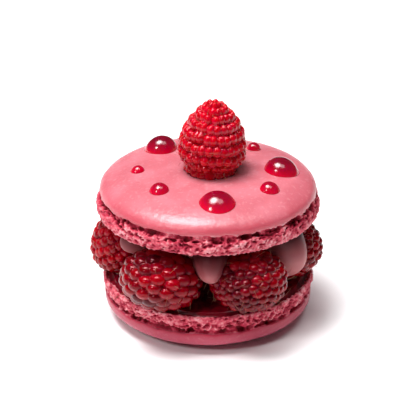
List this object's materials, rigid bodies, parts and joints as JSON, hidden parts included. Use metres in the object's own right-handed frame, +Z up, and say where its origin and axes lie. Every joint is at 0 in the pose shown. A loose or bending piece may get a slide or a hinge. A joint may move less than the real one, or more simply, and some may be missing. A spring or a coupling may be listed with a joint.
{
  "type": "french macaron",
  "caption": "Large french macaron: almond shells with frilled feet, with jam, cream and a ring of raspberries between them, and a raspberry and drops of gel on top.",
  "frame": {"origin": "centre of the small flat spot on the underside of the lower shell, where the macaron rests", "axes": "+Z up through the middle of both shells; -Y is the front that the picture looks at; +X is to the right in that view"},
  "size_m": [0.0686, 0.0674, 0.066],
  "materials": {
    "shell": "satin baked almond meringue",
    "jam": "wet gloss",
    "cream": "smooth satin",
    "raspberry": "translucent juicy skin",
    "gel": "clear wet gloss"
  },
  "bodies": {
    "root": {"bottom_shell": "shell", "jam_layer": "jam", "cream_filling": "cream", "raspberry_front_left": "raspberry", "raspberry_front_right": "raspberry", "raspberry_right": "raspberry", "raspberry_back_right": "raspberry", "raspberry_back_left": "raspberry", "raspberry_left": "raspberry", "top_shell": "shell", "raspberry_top": "raspberry", "gel_drop_1": "gel", "gel_drop_2": "gel", "gel_drop_3": "gel", "gel_drop_4": "gel", "gel_drop_5": "gel", "gel_drop_6": "gel", "gel_drop_7": "gel", "gel_drop_8": "gel"}
  },
  "joints": []
}
